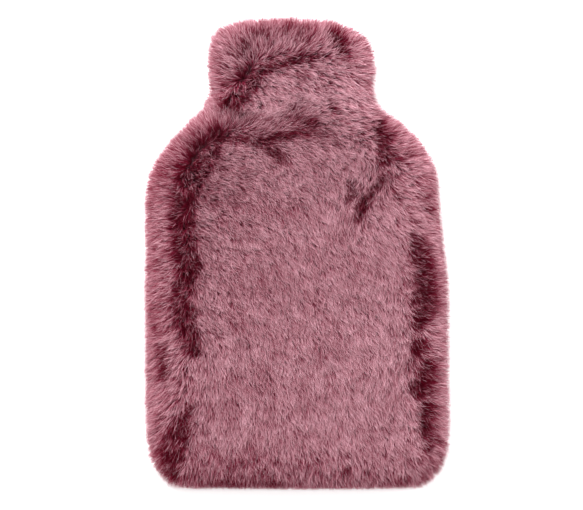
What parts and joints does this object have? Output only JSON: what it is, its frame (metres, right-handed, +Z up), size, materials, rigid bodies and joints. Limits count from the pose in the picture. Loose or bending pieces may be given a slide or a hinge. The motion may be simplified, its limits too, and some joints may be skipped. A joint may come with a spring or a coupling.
{
  "type": "hot water bottle cover",
  "caption": "Long pile faux fur cover for a hot water bottle: a hollow, bottle-shaped bag with a closed head and an envelope mouth across the back.",
  "frame": {"origin": "on the resting surface, under the middle of the cover, which lies on its back", "axes": "+Y points to the head that covers the bottle's neck, +X to the right as the front is seen from above, +Z up out of the front"},
  "size_m": [0.2308, 0.3606, 0.0722],
  "materials": {
    "faux_fur": "long glossy acrylic pile, dusty rose at the tips and dark burgundy at the roots",
    "fur_backing": "matt knitted polyester backing"
  },
  "bodies": {
    "root": {"front_panel": "faux_fur", "back_panel_upper": "faux_fur", "back_panel_lower": "faux_fur"}
  },
  "joints": []
}
